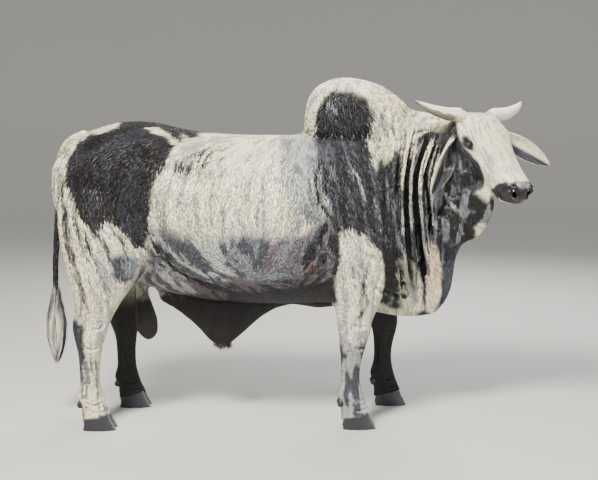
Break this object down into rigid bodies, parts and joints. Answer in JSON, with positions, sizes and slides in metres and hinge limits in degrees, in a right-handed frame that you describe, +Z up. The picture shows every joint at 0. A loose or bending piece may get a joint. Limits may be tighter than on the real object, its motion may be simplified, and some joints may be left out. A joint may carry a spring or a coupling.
{
  "type": "brahman bull, life-size standing model",
  "caption": "Life-size standing humped bull with its head turned to its right, long hanging ears, short horns, pleated neck and deep dewlap.",
  "frame": {"origin": "on the floor under the middle of the model's box", "axes": "+X the way the body faces, from tail to brisket; +Y the bull's left; +Z up"},
  "size_m": [2.5061, 0.7902, 1.6956],
  "materials": {
    "hide_cream": "short dense cream-white hair lying flat, soft sheen",
    "hide_grey": "short hair shading from cream ridges to charcoal furrows",
    "hide_charcoal": "short charcoal hair, bluish where light grazes it",
    "hide_black": "short near-black hair and bare dark skin",
    "tail_hair": "long coarse grey-white hair in locks, dark at its edges and tip",
    "horn": "smooth horn with faint growth rings, darker below and at the tip",
    "hoof": "dark slate hoof horn with fine rings",
    "eye": "wet, almost black eyeball"
  },
  "bodies": {
    "root": {"dewlap": "hide_grey", "ear_left": "hide_cream", "ear_right": "hide_cream", "eye_left": "eye", "eye_right": "eye", "fore_arm_left": "hide_black", "fore_arm_right": "hide_cream", "fore_cannon_left": "hide_black", "fore_cannon_right": "hide_cream", "fore_left_claw_inner": "hoof", "fore_left_claw_outer": "hoof", "fore_left_dewclaw_inner": "hoof", "fore_left_dewclaw_outer": "hoof", "fore_right_claw_inner": "hoof", "fore_right_claw_outer": "hoof", "fore_right_dewclaw_inner": "hoof", "fore_right_dewclaw_outer": "hoof", "head": "hide_cream", "hind_cannon_left": "hide_black", "hind_cannon_right": "hide_cream", "hind_left_claw_inner": "hoof", "hind_left_claw_outer": "hoof", "hind_left_dewclaw_inner": "hoof", "hind_left_dewclaw_outer": "hoof", "hind_right_claw_inner": "hoof", "hind_right_claw_outer": "hoof", "hind_right_dewclaw_inner": "hoof", "hind_right_dewclaw_outer": "hoof", "hind_thigh_left": "hide_black", "hind_thigh_right": "hide_cream", "horn_left": "horn", "horn_right": "horn", "hump": "hide_charcoal", "neck": "hide_charcoal", "scrotum": "hide_black", "sheath": "hide_black", "switch": "tail_hair", "tail": "hide_black", "torso": "hide_cream"}
  },
  "joints": []
}
